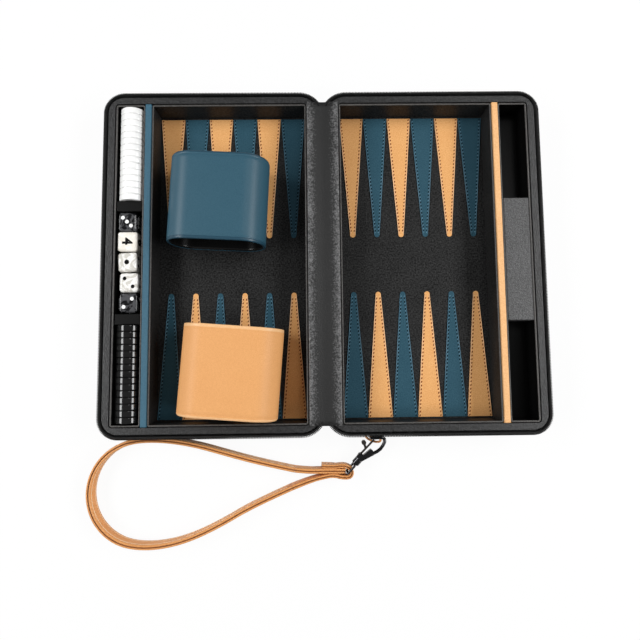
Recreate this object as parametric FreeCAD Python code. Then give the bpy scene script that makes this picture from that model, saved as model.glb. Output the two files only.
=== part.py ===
"""Backgammon set in a folding, zipped case, lying open on a table.

Millimetres. X runs across the two halves with the fold at x = 0, Y runs along the fold and Z is up
from the table at z = 0. The wrist strap and its clasp lie on the table on the -Y side.
"""
import FreeCAD
import Part
import math
import os

V = FreeCAD.Vector
UP = V(0, 0, 1)

# ---- driving dimensions: the case ----------------------------------------------------------------
case_height = 26.0          # table to rim
fold_gap = 2.8              # fold line to the hinge-side wall of each half
case_floor = 2.5            # floor board
rim_width = 5.7             # three outer walls
hinge_wall = 10.3           # wall beside the fold
outer_corner = 13.0         # corner radii of the shell in plan
fold_corner = 17.0
cavity_corner = 3.0
base_round = 2.5            # soft lower edge of the leather
rim_round = 0.8

# ---- zip ----------------------------------------------------------------------------------------
zip_gap = 0.3               # tape stands off the wall by a groove
tape_thick = 2.3
tape_low = 19.6
tape_high = 25.4
teeth_proud = 1.6           # teeth beyond the tape
teeth_low = 21.2
teeth_high = 24.2
zip_start = 1.0             # zip begins this far from the fold line

# ---- spine strip --------------------------------------------------------------------------------
strip_half_width = 13.2
strip_end_gap = 5.4         # the strip stops this far inside the ends of the case
strip_thick = 1.2
strip_valley = 0.5          # how far the strip dips at the fold line

# ---- trays and rails ----------------------------------------------------------------------------
liner_gap = 0.5             # between the rim walls and a liner
liner_wall = 1.5
liner_top = 24.8
field_floor = 4.0
field_width = 126.2         # playing floor between its liner walls
storage_floor = 7.0
rail_width = 5.1
rail_gap = 0.1              # each side of the rail
rail_end_gap = 0.3
rail_top = 26.3
rail_round = 0.6

# ---- points -------------------------------------------------------------------------------------
points_per_row = 6
point_end_gap = 1.4         # from the liner to the bases
point_tip_y = 23.9          # |y| of the tips
point_tip_width = 4.5
point_side_gap = 0.2        # between two neighbouring bases
point_thick = 0.6

# ---- checkers, dice and blocks --------------------------------------------------------------------
checker_diameter = 20.8
checker_thick = 5.1
checker_pitch = 5.27
checker_round = 1.0
checker_side_gap = 0.4      # each side, in the storage channel
checkers_per_side = 15
checker_end_gap = 1.32      # past the last checker of a row
seat_gap = 0.2              # round pieces stand this far off what they rest on
divider_width = 9.0
divider_top = 24.0
block_side_gap = 0.2
die_size = 16.0
die_round = 2.6
dice_gap = 0.6              # between neighbouring dice
dice_row_end_gap = 1.3      # from the middle die's share of the row to each divider
cube_size = 16.3
cube_round = 2.2
bridge_half_length = 51.2
bridge_top = 25.2
bridge_round = 0.8

# ---- dice cups ----------------------------------------------------------------------------------
cup_width = 80.0
cup_thick = 42.0
cup_corner = 19.6
cup_wall = 2.2
cup_base = 3.0
lining_thick = 1.0
lining_step = 1.2           # the lining stops this far inside the mouth
cup_base_round = 1.6
navy_cup_length = 71.0
navy_cup_x = 70.9           # from the fold side of the field to the middle of the cup
navy_cup_y = 83.4           # from the end of the field to the middle of the cup
navy_cup_turn = 177.0       # degrees about +Z; at 0 the mouth faces +Y
tan_cup_length = 72.5
tan_cup_x = 60.6
tan_cup_y = 41.6
tan_cup_turn = -4.5

# ---- zip slider and its pull loop -----------------------------------------------------------------
slider_width = 11.0
slider_low = 15.4
slider_high = 25.0
slider_plate = 1.3          # outer plate
bail_radius = 2.0
bail_wire = 0.6
loop_radius = 6.5           # centre line of the leather pull loop
loop_cord = 0.9
loop_tilt = 60.0            # its plane against the table
loop_turn = -25.0           # direction of the loop's level axis
loop_height = 8.0

# ---- clasp: u runs from the eye bar to the nose of the hook, v to its left ------------------------
eye_x = 17.6
eye_from_case = 34.8        # the eye bar lies this far out from the end of the case
clasp_turn = 46.6           # direction of u
clasp_height = 7.5          # centre plane
eye_wire = 1.0
eye_low = 1.5
eye_high = 13.5
eye_straight = 8.0
eye_neck = 0.6              # the arms meet this far before the collar
collar_start = 9.4
collar_end = 13.6
collar_radius = 3.2
stem_radius = 1.4
swivel_gap = 0.2
body_half_thick = 2.0
bow_wire = 1.4
rivet_radius = 1.6
gate_pivot_u = 16.6
gate_pivot_v = 1.9
gate_pin = 0.7
gate_hub = 1.4
gate_half_thick = 0.8
gate_width = 1.6
gate_end = 34.6
knob_u = 26.9
knob_v = 6.2
knob_radius = 1.9
rivet_u = 23.1
rivet_v = -2.6
rivet_proud = 0.5
hold_u = 37.0               # where the pull loop passes through the hook
hold_v = -3.0
cheek_thick = 0.8
hook_body = [(14.6, -2.8), (25.0, -6.6), (27.2, -3.8), (26.9, -1.4), (15.2, 0.4), (14.6, 0.4)]
hook_cheek = [(14.6, 0.3), (19.0, -0.2), (19.0, 2.6), (17.6, 3.4), (14.6, 2.8)]
hook_bend = [(25.0, -5.4), (29.0, -7.0), (32.4, -7.6), (36.0, -7.2), (39.0, -6.3), (40.6, -4.6), (40.6, -2.4),
             (39.5, -0.5), (37.6, 0.9), (36.2, 1.4)]
gate_arm = [(23.4, 2.0), (25.6, 2.0), (27.9, 5.6), (26.0, 6.6)]

# ---- wrist strap: laid on its edge on the table, y counted from the end of the case -----------------
strap_width = 12.0
strap_points = [(-26, -32), (-52, -26.4), (-80, -18.8), (-108, -10.6), (-134, -6.4), (-158, -6.6),
                (-174.1, -12.5), (-185.4, -22.2), (-192.7, -35.5), (-194.8, -50.8), (-191.3, -65.9),
                (-182.7, -78.8), (-170.2, -87.8), (-155.3, -91.8), (-135.5, -91.7), (-113, -86.6),
                (-88, -75.6), (-60, -59.7), (-28, -46.3)]
fold_outline = [(-3, -40), (5, -38.4), (12, -41.7), (19.8, -40.2), (23, -35), (20.4, -29.8),
                (14, -27.2), (6, -28.5), (-4, -27.7)]
fold_lift = 2.8             # the folded end is cut narrower from below, to pass the eye
fold_start_x = 9.0
eye_hole = 1.9

# ---- derived places, from the middle of the dice row to the end of the case -------------------------
dice_pitch = die_size + dice_gap
divider_inner_y = 2.5 * dice_pitch - dice_gap / 2 + dice_row_end_gap
checker_row_y = divider_inner_y + divider_width + seat_gap
checker_row_end = checker_row_y + (checkers_per_side - 1) * checker_pitch + checker_thick
liner_half_length = checker_row_end + checker_end_gap + liner_wall
cavity_half_length = liner_half_length + liner_gap
case_half_length = cavity_half_length + rim_width
point_base_y = liner_half_length - liner_wall - point_end_gap

# ---- derived places, from the fold outwards -------------------------------------------------------
cavity_start = fold_gap + hinge_wall
field_start = cavity_start + liner_gap + liner_wall
field_end = field_start + field_width
rail_start = field_end + liner_wall + rail_gap
rail_end = rail_start + rail_width
storage_start = rail_end + rail_gap + liner_wall
storage_end = storage_start + checker_diameter + 2 * checker_side_gap
cavity_end = storage_end + liner_wall + liner_gap
case_reach = cavity_end + rim_width
storage_centre = (storage_start + storage_end) / 2
cup_seat = field_floor + point_thick + seat_gap
navy_cup_centre = V(-field_start - navy_cup_x, liner_half_length - liner_wall - navy_cup_y, 0)
tan_cup_centre = V(-field_start - tan_cup_x, liner_wall + tan_cup_y - liner_half_length, 0)
eye_centre = V(eye_x, -case_half_length - eye_from_case, 0)
strap_places = [V(x, y - case_half_length, 0) for x, y in strap_points]
fold_places = [(x, y - case_half_length) for x, y in fold_outline]


# ---- small helpers --------------------------------------------------------------------------------
def box(x0, x1, y0, y1, z0, z1):
    return Part.makeBox(x1 - x0, y1 - y0, z1 - z0, V(x0, y0, z0))


def upright_edges(solid, x):
    """Vertical edges of a box that stand at this x."""
    found = []
    for edge in solid.Edges:
        ends = [vertex.Point for vertex in edge.Vertexes]
        if abs(ends[0].z - ends[-1].z) > 1e-6 and abs(ends[0].x - x) < 1e-6:
            found.append(edge)
    return found


def level_edges(solid, z):
    """Edges that lie wholly in the plane at height z."""
    return [edge for edge in solid.Edges if abs(edge.BoundBox.ZMin - z) < 1e-4 and abs(edge.BoundBox.ZMax - z) < 1e-4]


def rounded_box(x0, x1, y0, y1, z0, z1, radius_at_x0, radius_at_x1):
    solid = box(x0, x1, y0, y1, z0, z1)
    solid = solid.makeFillet(radius_at_x0, upright_edges(solid, x0))
    return solid.makeFillet(radius_at_x1, upright_edges(solid, x1))


def rod(start, end, radius):
    return Part.makeCylinder(radius, start.distanceToPoint(end), start, end - start)


def wire_form(points, radius):
    """Round bar through the points, with a ball at every inner corner."""
    form = rod(points[0], points[1], radius)
    for start, end in zip(points[1:], points[2:]):
        form = form.fuse([Part.makeSphere(radius, start), rod(start, end, radius)])
    return form


def prism(corners, z0, z1):
    ring = [V(x, y, z0) for x, y in corners]
    return Part.Face(Part.makePolygon(ring + ring[:1])).extrude(V(0, 0, z1 - z0))


def mirrored(shape):
    """The same piece on the other half of the case."""
    return shape.mirror(V(0, 0, 0), V(1, 0, 0))


def save(name, shape):
    for solid in shape.Solids:
        if not solid.isValid():
            raise ValueError(name + " is not a valid solid")
    shape.exportStep(os.path.join("parts", name + ".step"))
    print(f"{name:22s} solids {len(shape.Solids):2d}  volume {shape.Volume / 1000:9.3f} cm3")


# ---- case, right half -----------------------------------------------------------------------------
def shell():
    """Floor and four walls of one half, covered in leather."""
    outer = rounded_box(fold_gap, case_reach, -case_half_length, case_half_length,
                        0, case_height, fold_corner, outer_corner)
    outer = outer.makeFillet(base_round, level_edges(outer, 0))
    outer = outer.makeFillet(rim_round, level_edges(outer, case_height))
    cavity = rounded_box(cavity_start, cavity_end, -cavity_half_length, cavity_half_length,
                         case_floor, case_height + 1, cavity_corner, cavity_corner)
    return outer.cut(cavity)


def band(inner_offset, outer_offset, z0, z1):
    """Strip around the shell between two offsets from its wall, open at the fold."""
    def plan(offset, low, high):
        return rounded_box(fold_gap - offset, case_reach + offset, -case_half_length - offset,
                           case_half_length + offset, low, high, fold_corner + offset, outer_corner + offset)
    ring = plan(outer_offset, z0, z1).cut(plan(inner_offset, z0 - 1, z1 + 1))
    far = case_reach * 2
    return ring.cut(box(-far, zip_start, -far, far, z0 - 1, z1 + 1))


def zip_band():
    tape_outer = zip_gap + tape_thick
    tape = band(zip_gap, tape_outer, tape_low, tape_high)
    teeth = band(tape_outer - 0.5, tape_outer + teeth_proud, teeth_low, teeth_high)
    return tape.fuse(teeth).removeSplitter()


def spine_strip():
    """Leather over the fold, resting on both hinge walls and dipping a little between them."""
    low = case_height
    section = [V(-strip_half_width, 0, low), V(-fold_gap, 0, low), V(0, 0, low - strip_valley),
               V(fold_gap, 0, low), V(strip_half_width, 0, low),
               V(strip_half_width, 0, low + strip_thick), V(fold_gap, 0, low + strip_thick),
               V(0, 0, low + strip_thick - strip_valley),
               V(-fold_gap, 0, low + strip_thick), V(-strip_half_width, 0, low + strip_thick)]
    face = Part.Face(Part.makePolygon(section + section[:1]))
    half_length = case_half_length - strip_end_gap
    face.translate(V(0, -half_length, 0))
    return face.extrude(V(0, 2 * half_length, 0))


def tray(x0, x1, floor_z):
    """Open liner box with its inner faces at x0 and x1, its corners following the cavity's."""
    corner = cavity_corner - liner_gap
    outer = rounded_box(x0 - liner_wall, x1 + liner_wall, -liner_half_length, liner_half_length,
                        case_floor, liner_top, corner, corner)
    inner_y = liner_half_length - liner_wall
    return outer.cut(box(x0, x1, -inner_y, inner_y, floor_z, liner_top + 1))


def rail():
    end_y = cavity_half_length - rail_end_gap
    solid = box(rail_start, rail_end, -end_y, end_y, case_floor, rail_top)
    return solid.makeFillet(rail_round, level_edges(solid, rail_top))


def channel_block(y0, y1, top, rounding):
    """Block across the storage channel."""
    solid = box(storage_start + block_side_gap, storage_end - block_side_gap, y0, y1, storage_floor, top)
    return solid.makeFillet(rounding, level_edges(solid, top))


# ---- points ---------------------------------------------------------------------------------------
def point(x, side):
    """One leather point; side is +1 for the row at +Y."""
    half_base = (field_width / points_per_row - point_side_gap) / 2
    half_tip = point_tip_width / 2
    base_y = side * point_base_y
    shoulder_y = side * (point_tip_y + half_tip)
    corners = [V(x - half_tip, shoulder_y, 0), V(x - half_base, base_y, 0),
               V(x + half_base, base_y, 0), V(x + half_tip, shoulder_y, 0)]
    edges = [Part.LineSegment(a, b).toShape() for a, b in zip(corners, corners[1:])]
    tip = Part.Arc(corners[3], V(x, side * point_tip_y, 0), corners[0]).toShape()
    face = Part.Face(Part.Wire(edges + [tip]))
    face.translate(V(0, 0, field_floor))
    solid = face.extrude(V(0, 0, point_thick))
    return solid if solid.Volume > 0 else solid.reversed()


def points(half, colour):
    """Six points of one colour on one half: colours alternate along X and across the board."""
    pitch = field_width / points_per_row
    first = field_start + pitch / 2 if half > 0 else -field_end + pitch / 2
    found = []
    for side in (1, -1):
        for index in range(points_per_row):
            is_tan = (index % 2 == 0) == (side > 0)
            if is_tan == (colour == "tan"):
                found.append(point(first + index * pitch, side))
    return Part.makeCompound(found)


# ---- loose pieces ---------------------------------------------------------------------------------
def checker(y):
    """Disc standing on edge in the storage channel of the left half."""
    centre_z = storage_floor + seat_gap + checker_diameter / 2
    disc = Part.makeCylinder(checker_diameter / 2, checker_thick, V(-storage_centre, y - checker_thick / 2, centre_z),
                             V(0, 1, 0))
    rims = [edge for edge in disc.Edges if abs(edge.Length - math.pi * checker_diameter) < 1e-3]
    return disc.makeFillet(checker_round, rims)


def die(size, rounding, x, y, turn):
    solid = box(-size / 2, size / 2, -size / 2, size / 2, 0, size)
    solid = solid.makeFillet(rounding, solid.Edges)
    solid.rotate(V(0, 0, 0), UP, turn)
    solid.translate(V(x, y, storage_floor))
    return solid


def oval_bar(width, thick, corner, y0, y1):
    """Bar along Y with a rounded oblong section, lying with its lowest face at z = 0."""
    section = box(-width / 2, width / 2, y0, y1, 0, thick)
    along = [edge for edge in section.Edges if edge.BoundBox.YLength > (y1 - y0) * 0.9]
    return section.makeFillet(corner, along)


def cup(length, centre, turn):
    """Dice cup lying on its broad side, with its lining. Local +Y is the way out of the mouth."""
    def hollow(inset, y0, y1):
        bar = oval_bar(cup_width - 2 * inset, cup_thick - 2 * inset, cup_corner - inset, y0, y1)
        bar.translate(V(0, 0, inset))
        return bar
    lining_outer = cup_wall
    lining_inner = cup_wall + lining_thick
    wall = hollow(0, -length / 2, length / 2)
    wall = wall.makeFillet(cup_base_round, [edge for edge in wall.Edges if edge.BoundBox.YMax < -length / 2 + 0.01])
    wall = wall.cut(hollow(lining_outer, -length / 2 + cup_base, length / 2 + 1))
    lining = hollow(lining_outer, -length / 2 + cup_base, length / 2 - lining_step)
    lining = lining.cut(hollow(lining_inner, -length / 2 + cup_base + lining_thick, length / 2 + 1))
    both = Part.makeCompound([wall, lining])
    both.rotate(V(0, 0, 0), UP, turn)
    both.translate(centre + V(0, 0, cup_seat))
    return both


# ---- zip slider and pull loop -----------------------------------------------------------------------
def in_clasp(u, v, z=clasp_height):
    """A point of the clasp, from its own u and v to the table's X and Y."""
    turned = FreeCAD.Rotation(UP, clasp_turn).multVec(V(u, v, 0))
    return eye_centre + turned + V(0, 0, z)


def loop_axes():
    """Level axis of the pull loop and its rising axis, with its centre."""
    level = V(math.cos(math.radians(loop_turn)), math.sin(math.radians(loop_turn)), 0)
    tilt = math.radians(loop_tilt)
    rising = UP.cross(level) * math.cos(tilt) + UP * math.sin(tilt)
    centre = in_clasp(hold_u, hold_v, loop_height) - level * loop_radius
    return level, rising, centre


def loop_high_point():
    level, rising, centre = loop_axes()
    return centre + rising * loop_radius


def pull_loop():
    level, rising, centre = loop_axes()
    return Part.makeTorus(loop_radius, loop_cord, centre, level.cross(rising))


def slider():
    """Slider body under the tape, with its outer plate and the bail that carries the loop."""
    top_of_loop = loop_high_point()
    x0 = top_of_loop.x - slider_width / 2
    x1 = top_of_loop.x + slider_width / 2
    wall_y = -case_half_length - zip_gap
    teeth_y = wall_y - tape_thick - teeth_proud
    plate_y = teeth_y - zip_gap
    under = box(x0 + 1, x1 - 1, plate_y - slider_plate, wall_y, slider_low, tape_low - zip_gap)
    plate = box(x0, x1, plate_y - slider_plate, plate_y, slider_low, slider_high)
    level = loop_axes()[0]
    bail = Part.makeTorus(bail_radius, bail_wire, top_of_loop + V(0, 0, 0.3), level)
    return under.fuse([plate, bail])


# ---- clasp ------------------------------------------------------------------------------------------
def clasp_eye():
    """Upright bow around the strap, with the collar that the hook turns in."""
    low = eye_low
    high = eye_high
    neck = collar_start - eye_neck
    corners = [in_clasp(neck, 0, clasp_height - 1), in_clasp(eye_straight, 0, low), in_clasp(0, 0, low),
               in_clasp(0, 0, high), in_clasp(eye_straight, 0, high), in_clasp(neck, 0, clasp_height + 1)]
    bow = wire_form(corners, eye_wire)
    neck_disc = rod(in_clasp(neck, 0), in_clasp(collar_start, 0), collar_radius - 0.7)
    collar = rod(in_clasp(collar_start, 0), in_clasp(collar_end, 0), collar_radius)
    bore = rod(in_clasp(collar_start + 1.4, 0), in_clasp(collar_end + 1, 0), stem_radius + swivel_gap)
    return bow.fuse([neck_disc, collar]).cut(bore).removeSplitter()


def clasp_prism(corners, z0, z1):
    places = [in_clasp(u, v) for u, v in corners]
    return prism([(place.x, place.y) for place in places], z0, z1)


def clasp_post(u, v, z0, z1, radius):
    return rod(in_clasp(u, v, z0), in_clasp(u, v, z1), radius)


def clasp_hook():
    """Stem, body with its rivet, two cheeks for the gate, and the bent hook."""
    low = clasp_height - body_half_thick
    high = clasp_height + body_half_thick
    stem = rod(in_clasp(collar_start + 1.8, 0), in_clasp(collar_end + 1.4, 0), stem_radius)
    flange = rod(in_clasp(collar_end + swivel_gap, 0), in_clasp(collar_end + 1.4, 0), collar_radius)
    body = clasp_prism(hook_body, low, high)
    lower = clasp_prism(hook_cheek, low, low + cheek_thick)
    upper = clasp_prism(hook_cheek, high - cheek_thick, high)
    pin = clasp_post(gate_pivot_u, gate_pivot_v, low, high, gate_pin)
    rivet = clasp_post(rivet_u, rivet_v, low - rivet_proud, high + rivet_proud, rivet_radius)
    bow = wire_form([in_clasp(u, v) for u, v in hook_bend], bow_wire)
    bow = bow.fuse(Part.makeSphere(bow_wire, in_clasp(*hook_bend[-1])))
    return stem.fuse([flange, body, lower, upper, pin, rivet, bow]).removeSplitter()


def clasp_trigger():
    """Sprung gate with its eye on the pin and the round thumb knob."""
    low = clasp_height - gate_half_thick
    high = clasp_height + gate_half_thick
    near = gate_pivot_v - gate_width / 2
    bar = clasp_prism([(gate_pivot_u, near), (gate_end, near - 0.3), (gate_end, near + 1.1),
                       (gate_pivot_u, near + gate_width)], low, high)
    hub = clasp_post(gate_pivot_u, gate_pivot_v, low, high, gate_hub)
    hole = clasp_post(gate_pivot_u, gate_pivot_v, low - 1, high + 1, gate_pin + swivel_gap)
    arm = clasp_prism(gate_arm, low, high)
    knob = clasp_post(knob_u, knob_v, clasp_height - body_half_thick, clasp_height + body_half_thick, knob_radius)
    return bar.fuse([hub, arm, knob]).cut(hole).removeSplitter()


# ---- wrist strap ------------------------------------------------------------------------------------
def strap_path():
    """Straight runs joined by tangent arcs, in the plane of the strap's middle. Prints each radius."""
    places = [place + V(0, 0, strap_width / 2) for place in strap_places]
    edges = []
    radii = []
    last = places[0]
    for before, corner, after in zip(places, places[1:], places[2:]):
        back = before - corner
        ahead = after - corner
        half_turn = (math.pi - back.getAngle(ahead)) / 2
        cut = 0.45 * min(back.Length, ahead.Length)
        radius = cut / math.tan(half_turn)
        back.normalize()
        ahead.normalize()
        begin = corner + back * cut
        finish = corner + ahead * cut
        inward = back + ahead
        inward.normalize()
        middle = corner + inward * (radius / math.cos(half_turn) - radius)
        edges.append(Part.LineSegment(last, begin).toShape())
        edges.append(Part.Arc(begin, middle, finish).toShape())
        radii.append(radius)
        last = finish
    edges.append(Part.LineSegment(last, places[-1]).toShape())
    print("strap radii", " ".join(f"{radius:.0f}" for radius in radii))
    return Part.Wire(edges)


def wrist_strap():
    path = strap_path()
    start = strap_places[0] + V(0, 0, strap_width / 2)
    ring = Part.Wire(Part.makeCircle(strap_width / 2, start, strap_places[1] - strap_places[0]))
    tube = path.makePipeShell([ring], True, True)
    expected = math.pi * (strap_width / 2) ** 2 * path.Length
    print(f"strap length {path.Length:.1f} mm, volume over section times length {tube.Volume / expected:.4f}")
    return tube


def tube_end(place, neighbour):
    """The two ends, in plan, of the square face that a tube end meets."""
    heading = place - neighbour
    heading.normalize()
    across = UP.cross(heading) * (strap_width / 2)
    return (place + across, place - across)


def strap_end():
    """Where both legs come together, fold around the eye bar and are sewn."""
    first = tube_end(strap_places[0], strap_places[1])
    last = tube_end(strap_places[-1], strap_places[-2])
    corners = [(first[0].x, first[0].y), (first[1].x, first[1].y), (last[0].x, last[0].y), (last[1].x, last[1].y)]
    solid = prism(corners + fold_places, 0, strap_width)
    bar = in_clasp(0, 0, 0)
    solid = solid.cut(box(fold_start_x, bar.x + strap_width, bar.y - strap_width, bar.y + strap_width, -1, fold_lift))
    return solid.cut(Part.makeCylinder(eye_hole, strap_width + 2, bar - V(0, 0, 1)))


# ---- build ------------------------------------------------------------------------------------------
def build_case():
    save("right_shell", shell())
    save("left_shell", mirrored(shell()))
    save("right_zip", zip_band())
    save("left_zip", mirrored(zip_band()))
    save("spine_strip", spine_strip())
    save("right_field_tray", tray(field_start, field_end, field_floor))
    save("left_field_tray", mirrored(tray(field_start, field_end, field_floor)))
    save("right_storage_tray", tray(storage_start, storage_end, storage_floor))
    upper = channel_block(divider_inner_y, divider_inner_y + divider_width, divider_top, bridge_round)
    lower = channel_block(-divider_inner_y - divider_width, -divider_inner_y, divider_top, bridge_round)
    liner = tray(storage_start, storage_end, storage_floor)
    save("left_storage_tray", mirrored(Part.makeCompound([liner, upper, lower])))
    save("bridge_block", channel_block(-bridge_half_length, bridge_half_length, bridge_top, bridge_round))
    save("right_rail", rail())
    save("left_rail", mirrored(rail()))
    for half, half_name in ((-1, "left"), (1, "right")):
        for colour in ("tan", "navy"):
            save(f"{half_name}_points_{colour}", points(half, colour))


def build_loose_pieces():
    first_y = checker_row_y + checker_thick / 2
    for index in range(checkers_per_side):
        y = first_y + index * checker_pitch
        save(f"white_checker_{index + 1:02d}", checker(y))
        save(f"black_checker_{index + 1:02d}", checker(-y))
    row = -storage_centre
    save("black_die_1", die(die_size, die_round, row - 2.3, 2 * dice_pitch + 1.0, 0))
    save("doubling_cube", die(cube_size, cube_round, row - 2.0, dice_pitch + 1.0, 0))
    save("pearl_die_1", die(die_size, die_round, row - 1.8, 0.4, 3))
    save("pearl_die_2", die(die_size, die_round, row + 0.1, -dice_pitch, 0))
    save("black_die_2", die(die_size, die_round, row - 0.3, -2 * dice_pitch - 0.2, 0))
    save("navy_cup", cup(navy_cup_length, navy_cup_centre, navy_cup_turn))
    save("tan_cup", cup(tan_cup_length, tan_cup_centre, tan_cup_turn))


def build_strap():
    save("zip_slider", slider())
    save("zip_pull", pull_loop())
    save("clasp_eye", clasp_eye())
    save("clasp_hook", clasp_hook())
    save("clasp_trigger", clasp_trigger())
    save("wrist_strap", wrist_strap())
    save("strap_end", strap_end())


os.makedirs("parts", exist_ok=True)
build_case()
build_loose_pieces()
build_strap()
hold = in_clasp(hold_u, hold_v, 0)
high = loop_high_point()
gate = in_clasp(gate_pivot_u, gate_pivot_v)
print("loop high point", high, "hook hold", hold, "gate pin", gate)
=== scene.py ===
# %% [markdown]
# # A leather backgammon set, dressed for its picture
# The set is a zipped case that lies open like a book, with stitched leather points, two dice cups, dice
# and checkers in their channel, and a tan wrist strap on a trigger clasp. The solid model gives every
# piece its true place and size. This script keeps what is already right, replaces what is soft or finely
# made, and gives every surface a finish.

# %% Load the solid model
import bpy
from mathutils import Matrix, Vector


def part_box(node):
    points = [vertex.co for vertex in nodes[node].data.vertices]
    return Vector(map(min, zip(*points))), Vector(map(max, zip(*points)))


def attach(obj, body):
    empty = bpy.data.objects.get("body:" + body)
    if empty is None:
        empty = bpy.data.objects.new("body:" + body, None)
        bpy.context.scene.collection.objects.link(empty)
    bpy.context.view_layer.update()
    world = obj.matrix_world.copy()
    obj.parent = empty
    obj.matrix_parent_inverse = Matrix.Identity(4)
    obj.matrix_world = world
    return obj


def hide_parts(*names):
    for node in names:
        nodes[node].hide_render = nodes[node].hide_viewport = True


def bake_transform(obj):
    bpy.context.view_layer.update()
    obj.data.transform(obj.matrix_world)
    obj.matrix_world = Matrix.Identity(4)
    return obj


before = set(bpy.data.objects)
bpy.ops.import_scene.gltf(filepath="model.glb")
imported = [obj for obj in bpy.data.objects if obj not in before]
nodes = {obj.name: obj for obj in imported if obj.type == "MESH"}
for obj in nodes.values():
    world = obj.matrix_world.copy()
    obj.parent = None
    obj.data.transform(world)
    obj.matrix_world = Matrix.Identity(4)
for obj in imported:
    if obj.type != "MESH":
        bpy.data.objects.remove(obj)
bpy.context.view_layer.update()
import math

import bmesh
import bpy
from mathutils import Vector

mm = 0.001
finishes = {}      # the materials of this script by their short names

# %% [markdown]
# ## Camera
# The set is seen from almost straight above, a little from the strap's side, with a fairly wide lens
# close to the table. A camera this near shows the walls of the case leaning outwards, and the cups
# standing wider at their tops, so its height matters more than its lens.

# %% Place the camera
camera_data = bpy.data.cameras.new("overhead_camera")
camera_data.lens = 27
camera_data.sensor_width = 36
camera = bpy.data.objects.new("overhead_camera", camera_data)
bpy.context.scene.collection.objects.link(camera)
camera.location = (-0.00792, -0.08055, 0.41387)
camera.rotation_euler = (math.radians(4.596), math.radians(-0.541), math.radians(-0.659))
bpy.context.scene.camera = camera
print("camera height mm", round(camera.location.z / mm), "lens mm", camera_data.lens)

# %% [markdown]
# ## Mesh helpers
# Most pieces are a section swept along a path, like the strap, the zip and the bound edges. One function
# sweeps, and another makes the mesh a piece that rides on its body, so each piece below only says what
# its section and its path are. What is turned or laid in rings has a function of its own further down.


# %% Make a mesh piece and put it on its body
def make_piece(name, verts, faces, material_names, body, smooth=True):
    mesh = bpy.data.meshes.new(name)
    mesh.from_pydata([tuple(v) for v in verts], [], faces)
    mesh.validate()
    piece = bpy.data.objects.new(name, mesh)
    bpy.context.scene.collection.objects.link(piece)
    for material_name in material_names:
        mesh.materials.append(finishes[material_name])
    if smooth:
        mesh.shade_smooth()
    tidy_normals(mesh)
    if body:
        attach(piece, body)
    return piece


def tidy_normals(mesh):
    """Turns every closed part of a mesh so that its faces look outwards."""
    work = bmesh.new()
    work.from_mesh(mesh)
    bmesh.ops.recalc_face_normals(work, faces=work.faces)
    work.to_mesh(mesh)
    work.free()


# %% Sweep a closed section along a path that lies level
def sweep(path, section_at, closed=False):
    """section_at(i) gives (across, height) pairs at path point i."""
    verts = []
    count = len(path)
    for i, place in enumerate(path):
        before = path[(i - 1) % count] if closed or i > 0 else place
        after = path[(i + 1) % count] if closed or i < count - 1 else place
        along = Vector((after[0] - before[0], after[1] - before[1], 0)).normalized()
        across = Vector((-along.y, along.x, 0))
        section = section_at(i)
        for offset, height in section:
            verts.append(Vector((place[0], place[1], 0)) + across * offset + Vector((0, 0, height)))
    ring = len(section)
    faces = []
    for i in range(count if closed else count - 1):
        here = i * ring
        there = ((i + 1) % count) * ring
        for k in range(ring):
            j = (k + 1) % ring
            faces.append((here + k, here + j, there + j, there + k))
    if not closed:
        faces.append(tuple(range(ring)))
        faces.append(tuple((count - 1) * ring + k for k in range(ring)))
    return verts, faces


# %% Read a smooth route through control points
def smooth_route(points, height, resolution):
    """A NURBS line with these control points in mm, as evaluated points in metres."""
    curve = bpy.data.curves.new("route", "CURVE")
    curve.dimensions = "3D"
    spline = curve.splines.new("NURBS")
    spline.points.add(len(points) - 1)
    for control, (x, y) in zip(spline.points, points):
        control.co = (x * mm, y * mm, height, 1)
    spline.order_u = 3
    spline.use_endpoint_u = True
    curve.resolution_u = resolution
    holder = bpy.data.objects.new("route", curve)
    bpy.context.scene.collection.objects.link(holder)
    mesh = bpy.data.meshes.new_from_object(holder.evaluated_get(bpy.context.evaluated_depsgraph_get()))
    route = [v.co.copy() for v in mesh.vertices]
    bpy.data.objects.remove(holder)
    bpy.data.meshes.remove(mesh)
    return route


def route_length(route):
    return sum((b - a).length for a, b in zip(route, route[1:]))


# %% [markdown]
# ## Shader groups
# Leather is a fine pebble of small cells with softer folds between them. One group makes that relief and
# a matching tone, and each leather places it with its own cell size and depth. Marbling is a noise that
# bends itself, which makes the veins of pressed plastic. Thread and tape share three crossed waves.


# %% Small helpers for building node trees
def new_group(name, inputs, outputs):
    group = bpy.data.node_groups.new(name, "ShaderNodeTree")
    for socket_name, default in inputs:
        socket = group.interface.new_socket(socket_name, in_out="INPUT", socket_type="NodeSocketFloat")
        socket.default_value = default
    for socket_name in outputs:
        group.interface.new_socket(socket_name, in_out="OUTPUT", socket_type="NodeSocketFloat")
    return group, group.nodes.new("NodeGroupInput"), group.nodes.new("NodeGroupOutput")


def add_math(tree, operation, first, second):
    node = tree.nodes.new("ShaderNodeMath")
    node.operation = operation
    for index, value in enumerate((first, second)):
        if isinstance(value, (int, float)):
            node.inputs[index].default_value = value
        else:
            tree.links.new(value, node.inputs[index])
    return node.outputs[0]


def add_noise(tree, vector, scale, detail, rough):
    node = tree.nodes.new("ShaderNodeTexNoise")
    tree.links.new(vector, node.inputs["Vector"])
    if isinstance(scale, (int, float)):
        node.inputs["Scale"].default_value = scale
    else:
        tree.links.new(scale, node.inputs["Scale"])
    node.inputs["Detail"].default_value = detail
    node.inputs["Roughness"].default_value = rough
    return node.outputs["Fac"]


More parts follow.
